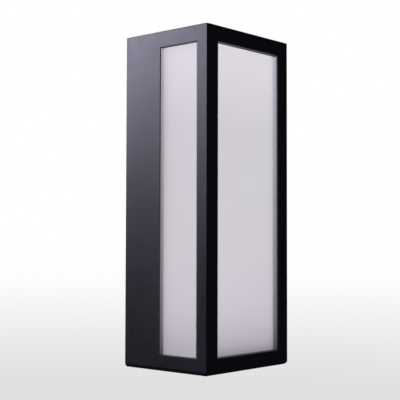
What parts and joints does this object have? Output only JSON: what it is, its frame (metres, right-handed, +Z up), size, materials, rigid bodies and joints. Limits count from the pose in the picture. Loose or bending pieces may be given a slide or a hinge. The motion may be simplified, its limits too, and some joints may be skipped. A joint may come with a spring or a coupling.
{
  "type": "outdoor wall lantern",
  "caption": "Box-shaped black outdoor wall lantern with opal front and side windows over an LED tray, drawn off its wall plate after loosening captive screws beneath.",
  "frame": {"origin": "centre of the wall face, which is the back of the wall gasket, at half the housing's height", "axes": "+Z up, +Y into the wall, the lantern's front faces -Y, +X to the right of someone facing it"},
  "size_m": [0.119, 0.101, 0.3136],
  "materials": {
    "black_coat": "satin black powder coat with a fine orange-peel texture",
    "opal_acrylic": "opal acrylic sheet, smooth satin face, slightly cool white",
    "grey_silicone": "matt pale grey silicone, dirtier low down",
    "white_plastic": "moulded white plastic, fine matt grain",
    "white_coat": "white reflective powder coat",
    "zinc_steel": "bright zinc plate",
    "stainless": "stainless steel, turned",
    "green_zinc": "green dyed zinc plate",
    "circuit_board": "white solder mask on an aluminium board",
    "sponge_rubber": "black closed-cell sponge rubber, open pores on its cut faces",
    "black_rubber": "moulded black rubber",
    "wire_black": "black wire insulation",
    "wire_white": "white wire insulation",
    "wire_green": "green wire insulation",
    "wire_red": "red wire insulation"
  },
  "bodies": {
    "wall_fixing": {"wall_plate": "zinc_steel", "wall_gasket": "sponge_rubber", "cable_grommet": "black_rubber", "plate_ground_screw": "green_zinc", "captive_nut_left": "zinc_steel", "captive_nut_right": "zinc_steel", "retaining_washer_left": "stainless", "retaining_washer_right": "stainless", "retaining_screw_left": "stainless", "retaining_screw_right": "stainless"},
    "lantern": {"housing": "black_coat", "front_gasket": "grey_silicone", "left_gasket": "grey_silicone", "right_gasket": "grey_silicone", "front_diffuser": "opal_acrylic", "left_diffuser": "opal_acrylic", "right_diffuser": "opal_acrylic", "diffuser_cage": "white_plastic", "led_tray": "white_coat", "tray_screw_upper_left": "zinc_steel", "tray_screw_upper_right": "zinc_steel", "tray_screw_lower_left": "zinc_steel", "tray_screw_lower_right": "zinc_steel", "tray_grommet": "black_rubber", "led_board_left": "circuit_board", "led_board_right": "circuit_board", "board_screw_upper_left": "zinc_steel", "board_screw_upper_right": "zinc_steel", "board_screw_lower_left": "zinc_steel", "board_screw_lower_right": "zinc_steel", "led_driver": "white_plastic", "driver_screw_upper": "zinc_steel", "driver_screw_lower": "zinc_steel", "terminal_block": "white_plastic", "terminal_screw": "zinc_steel", "tray_ground_screw": "green_zinc", "lead_line": "wire_black", "lead_neutral": "wire_white", "lead_ground": "wire_green", "led_lead": "wire_red", "board_jumper": "wire_white"}
  },
  "joints": [
    {"name": "lantern_draw_off", "type": "slide", "parent": "wall_fixing", "child": "lantern", "axis": [0, -1, 0], "range_m": [0, 0.15]}
  ]
}
